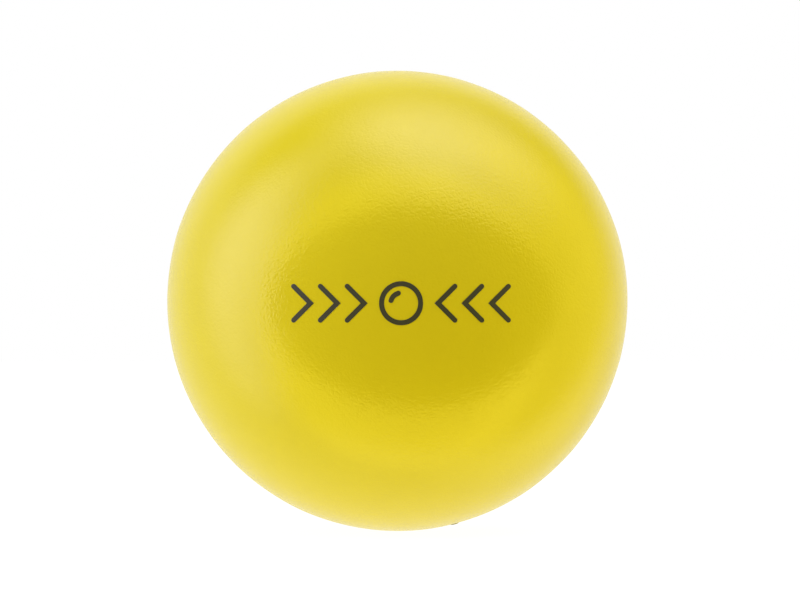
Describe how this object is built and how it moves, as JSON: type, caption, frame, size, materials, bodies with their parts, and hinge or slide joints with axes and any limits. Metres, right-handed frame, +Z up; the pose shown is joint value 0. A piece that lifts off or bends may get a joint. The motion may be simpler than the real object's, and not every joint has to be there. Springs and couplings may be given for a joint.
{
  "type": "stress ball",
  "caption": "Round foam ball for squeezing in the hand, with a moulded skin in two halves, a low parting bead and a small printed pictogram.",
  "frame": {"origin": "centre of the ball", "axes": "+Z up, -Y out of the printed front, +Y across the mould's parting plane, which is XZ"},
  "size_m": [0.0632, 0.0632, 0.0632],
  "materials": {
    "skin": "yellow polyurethane skin, satin, with a fine low pebble grain",
    "core_foam": "open-celled polyurethane foam, matt",
    "ink": "dark warm grey pad-printing ink, matt"
  },
  "bodies": {
    "core": {"foam_core": "core_foam", "parting_bead": "skin", "vent_nub": "skin"},
    "front_half": {"front_skin": "skin", "ink_ring": "ink", "ink_glint": "ink", "ink_left_chevron_1": "ink", "ink_left_chevron_2": "ink", "ink_left_chevron_3": "ink", "ink_right_chevron_1": "ink", "ink_right_chevron_2": "ink", "ink_right_chevron_3": "ink"},
    "back_half": {"back_skin": "skin"}
  },
  "joints": [
    {"name": "squeeze_front", "type": "slide", "parent": "core", "child": "front_half", "axis": [0, 1, 0], "range_m": [0, 0.014], "stiffness_N_per_m": 3000, "deforming": ["front_skin", "foam_core"]},
    {"name": "squeeze_back", "type": "slide", "parent": "core", "child": "back_half", "axis": [0, -1, 0], "range_m": [0, 0.014], "stiffness_N_per_m": 3000, "deforming": ["back_skin"]}
  ],
  "couplings": [
    {"joint": "squeeze_back", "follows": "squeeze_front", "ratio": 1}
  ]
}
